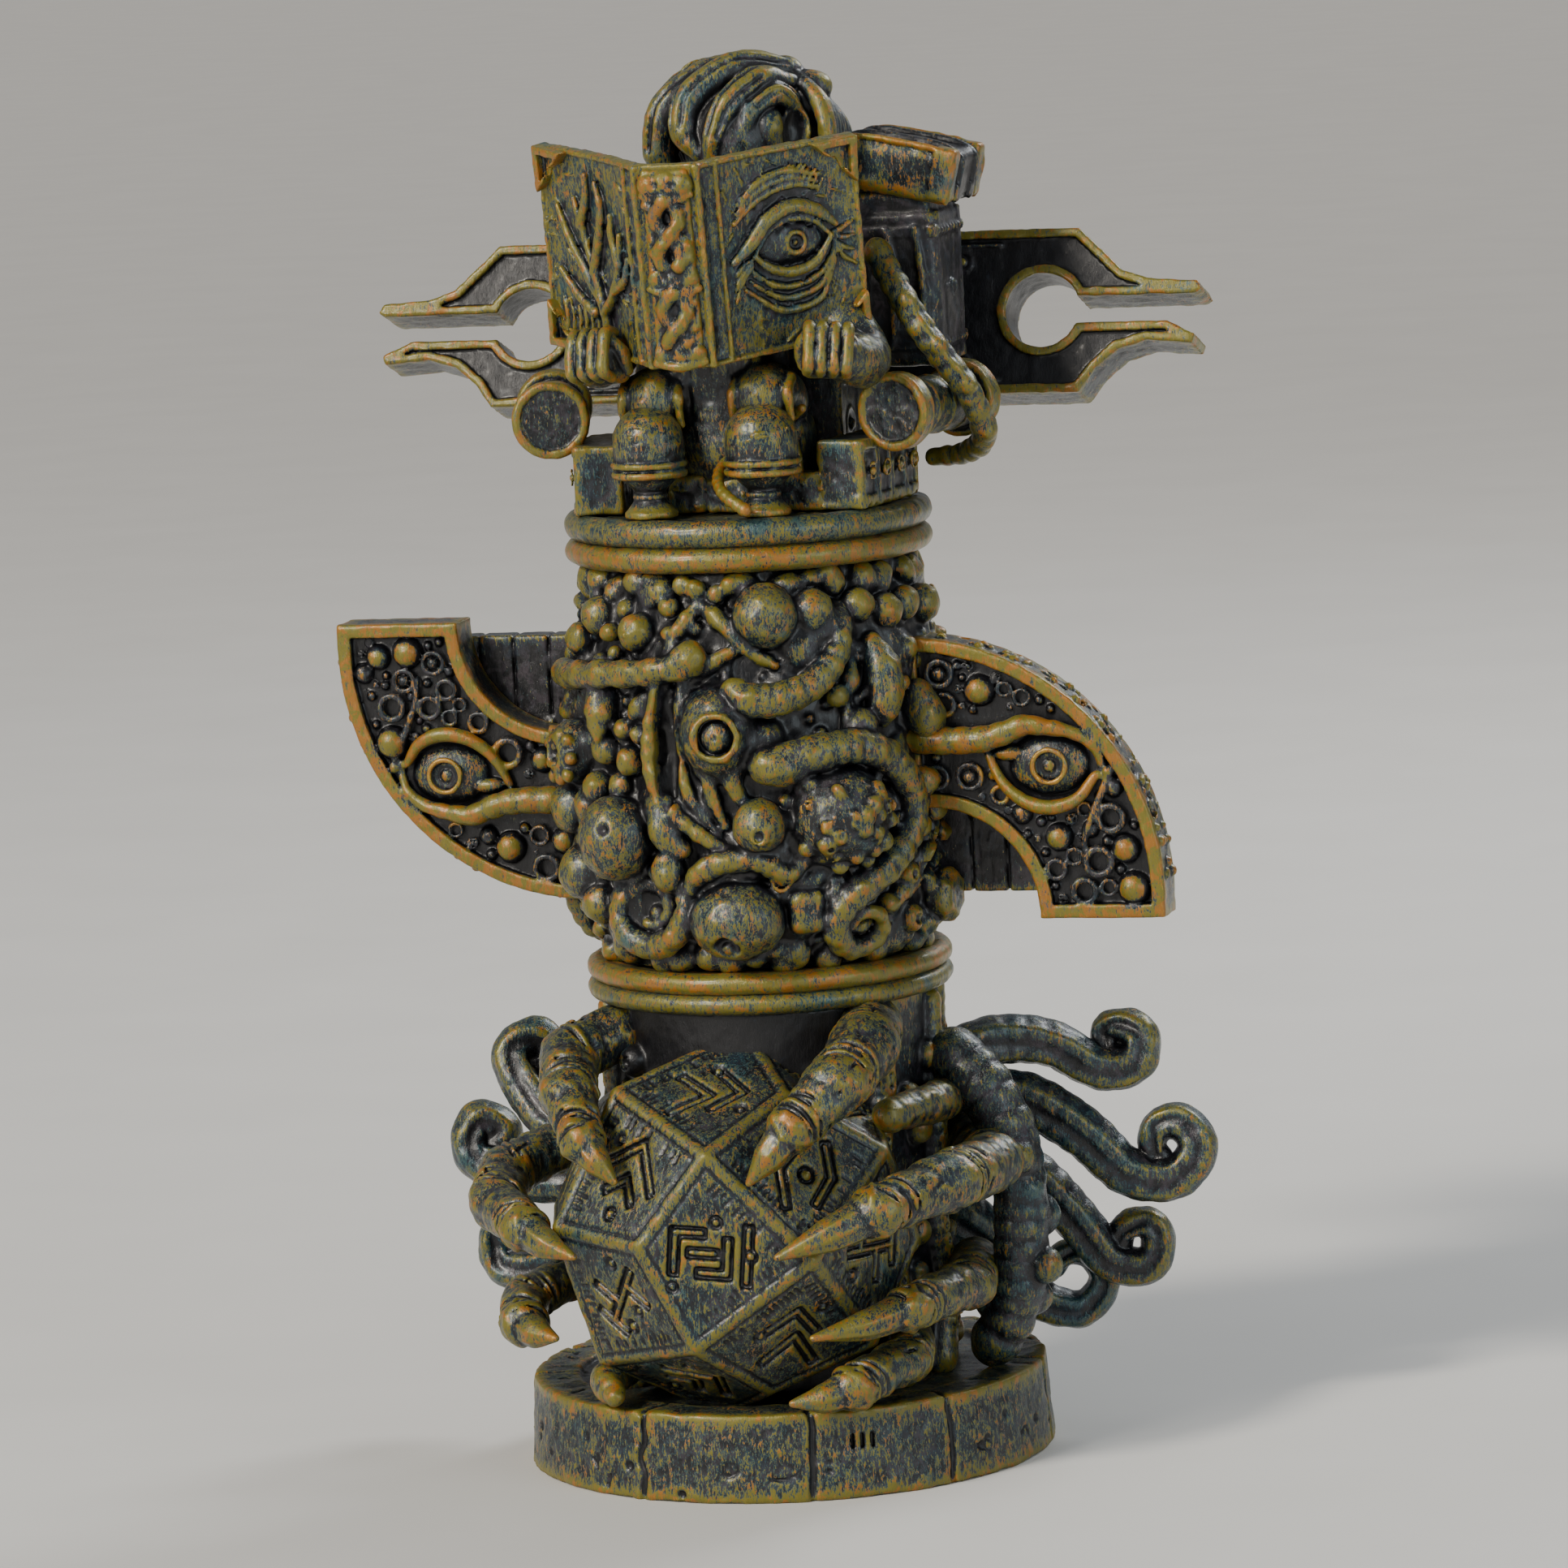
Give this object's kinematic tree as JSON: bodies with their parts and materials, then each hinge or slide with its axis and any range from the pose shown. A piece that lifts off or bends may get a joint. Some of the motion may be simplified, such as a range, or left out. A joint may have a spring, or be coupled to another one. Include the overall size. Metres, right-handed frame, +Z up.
{
  "type": "dice tower",
  "caption": "Free-standing dice tower sculpted as stacked ringed sections that turn and lift apart, with a rear hopper, baffled shaft and rear outlet",
  "frame": {"origin": "centre of the plinth's underside, on the surface that the tower stands on", "axes": "+Z up the dice shaft, -Y to the front where the crystal and the open book are, +X to the right seen from the front"},
  "size_m": [0.132, 0.0883, 0.215],
  "materials": {
    "plinth_stone": "aged bronze paint with verdigris, satin",
    "crystal": "aged bronze paint with verdigris, satin",
    "claws": "aged bronze paint with verdigris, satin",
    "tentacles": "aged bronze paint with verdigris, satin",
    "column": "aged bronze paint with verdigris, satin",
    "rings": "aged bronze paint with verdigris, satin",
    "inner_parts": "aged bronze paint with verdigris, satin",
    "barrel": "aged bronze paint with verdigris, satin",
    "wings": "aged bronze paint with verdigris, satin",
    "planks": "aged bronze paint with verdigris, satin",
    "fork": "aged bronze paint with verdigris, satin",
    "figure": "aged bronze paint with verdigris, satin",
    "book_cover": "aged bronze paint with verdigris, satin",
    "book_pages": "aged bronze paint with verdigris, satin",
    "deck_ornaments": "aged bronze paint with verdigris, satin",
    "backpack": "aged bronze paint with verdigris, satin"
  },
  "bodies": {
    "base": {"plinth": "plinth_stone", "base_column": "column", "base_collar": "rings", "exit_ramp": "inner_parts", "polyhedral_crystal": "crystal", "left_claw_1": "claws", "left_claw_2": "claws", "left_claw_3": "claws", "left_claw_4": "claws", "right_claw_1": "claws", "right_claw_2": "claws", "right_claw_3": "claws", "right_claw_4": "claws", "right_claw_5": "claws", "left_tentacle_1": "tentacles", "left_tentacle_2": "tentacles", "left_tentacle_3": "tentacles", "right_tentacle_1": "tentacles", "right_tentacle_2": "tentacles", "right_tentacle_3": "tentacles", "right_tentacle_4": "tentacles", "right_tentacle_5": "tentacles"},
    "lower_coupling": {"lower_coupling_ring": "inner_parts"},
    "middle": {"lower_barrel_collar": "rings", "barrel_front": "barrel", "barrel_rear": "barrel", "upper_barrel_collar": "rings", "upper_baffle": "inner_parts", "lower_baffle": "inner_parts", "left_wing": "wings", "right_wing": "wings", "left_wing_planks": "planks", "right_wing_planks": "planks"},
    "upper_coupling": {"upper_coupling_ring": "inner_parts"},
    "top": {"deck": "rings", "hopper": "inner_parts", "fork_bar": "fork", "robe": "figure", "head": "figure", "left_arm": "figure", "right_arm": "figure", "book_cover": "book_cover", "book_pages": "book_pages", "left_lamp_post": "deck_ornaments", "right_lamp_post": "deck_ornaments", "post_cord": "tentacles", "left_scroll_case": "deck_ornaments", "right_scroll_case": "deck_ornaments", "backpack": "backpack", "backpack_lid": "backpack", "shoulder_strap": "tentacles", "left_side_block": "deck_ornaments", "right_side_block": "deck_ornaments", "middle_blocks": "deck_ornaments"}
  },
  "joints": [
    {"name": "lower_lift", "type": "slide", "parent": "base", "child": "lower_coupling", "axis": [0, 0, 1], "range_m": [0, 0.03]},
    {"name": "middle_turn", "type": "hinge", "parent": "lower_coupling", "child": "middle", "pos_m": [0, 0, 0.0749], "axis": [0, 0, 1], "continuous": true},
    {"name": "upper_lift", "type": "slide", "parent": "middle", "child": "upper_coupling", "axis": [0, 0, 1], "range_m": [0, 0.03]},
    {"name": "top_turn", "type": "hinge", "parent": "upper_coupling", "child": "top", "pos_m": [0, 0, 0.1423], "axis": [0, 0, 1], "continuous": true}
  ]
}
